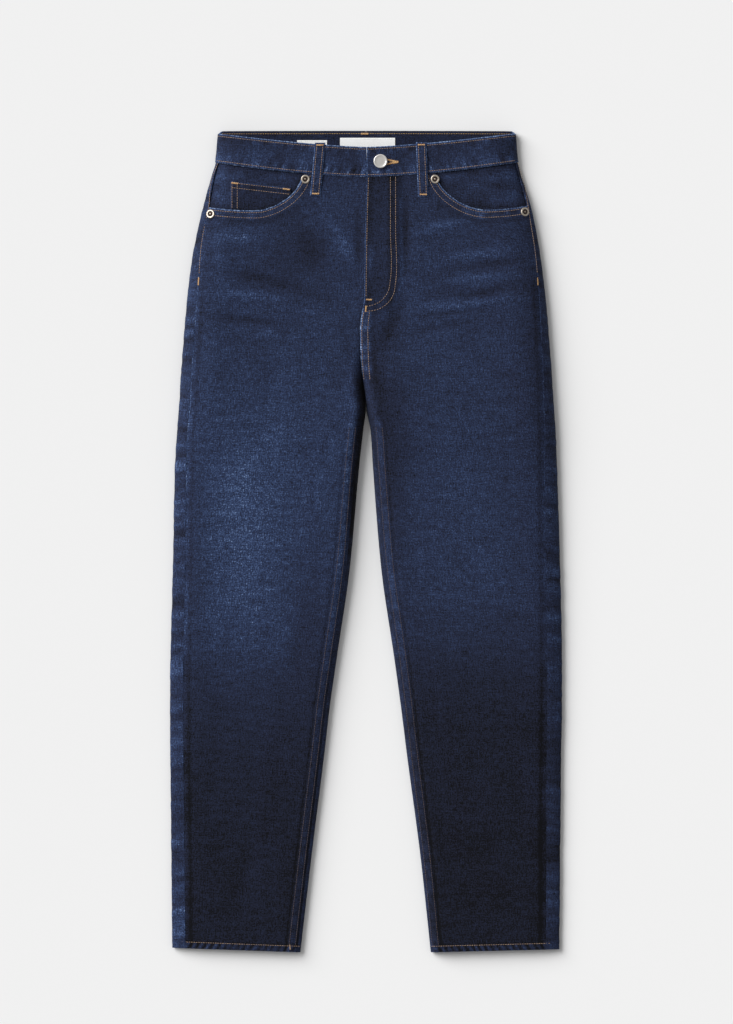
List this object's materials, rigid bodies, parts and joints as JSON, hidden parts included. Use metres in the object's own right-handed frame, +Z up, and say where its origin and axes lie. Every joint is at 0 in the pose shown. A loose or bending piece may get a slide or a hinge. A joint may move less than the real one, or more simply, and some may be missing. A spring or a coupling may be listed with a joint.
{
  "type": "mom jeans",
  "caption": "High-rise mom jeans in dark indigo denim, laid flat with the front up and the fly closed, legs and waist open inside",
  "frame": {"origin": "middle of the bounding box in X and Y, on the surface that the jeans lie on", "axes": "+X to the wearer's left side, which is the viewer's right, +Y from the hems to the waist, +Z up off the surface, through back and front"},
  "size_m": [0.478, 1.0015, 0.0273],
  "materials": {
    "denim_front": "dark indigo twill denim, faded along the thighs",
    "denim_back": "dark indigo twill denim, even wash",
    "denim_band": "dark indigo twill denim, worn pale along its edges",
    "denim_pocket": "dark indigo twill denim, unfaded",
    "zip_tape": "woven tape, dark navy",
    "label_cloth": "white woven tape, bare",
    "nickel": "bright nickel plate"
  },
  "bodies": {
    "root": {"front_right_shin": "denim_front", "front_right_knee": "denim_front", "front_right_thigh": "denim_front", "front_right_hip": "denim_front", "front_left_shin": "denim_front", "front_left_knee": "denim_front", "front_left_thigh": "denim_front", "front_left_hip": "denim_front", "back_right_shin": "denim_back", "back_right_knee": "denim_back", "back_right_thigh": "denim_back", "back_right_hip": "denim_back", "back_left_shin": "denim_back", "back_left_knee": "denim_back", "back_left_thigh": "denim_back", "back_left_hip": "denim_back", "yoke_right": "denim_back", "yoke_left": "denim_back", "waistband_right": "denim_band", "waistband_left": "denim_band", "pocket_facing_right": "denim_pocket", "pocket_facing_left": "denim_pocket", "coin_pocket": "denim_pocket", "belt_loop_front_right": "denim_band", "belt_loop_front_left": "denim_band", "belt_loop_back_right": "denim_band", "belt_loop_back_centre": "denim_band", "belt_loop_back_left": "denim_band", "seat_pocket_right": "denim_back", "seat_pocket_left": "denim_back", "fly_shield": "denim_pocket", "fly_zip": "zip_tape", "label_main": "label_cloth", "label_small": "label_cloth", "button": "nickel", "rivet_right_inner": "nickel", "rivet_right_outer": "nickel", "rivet_left_inner": "nickel", "rivet_left_outer": "nickel"}
  },
  "joints": []
}
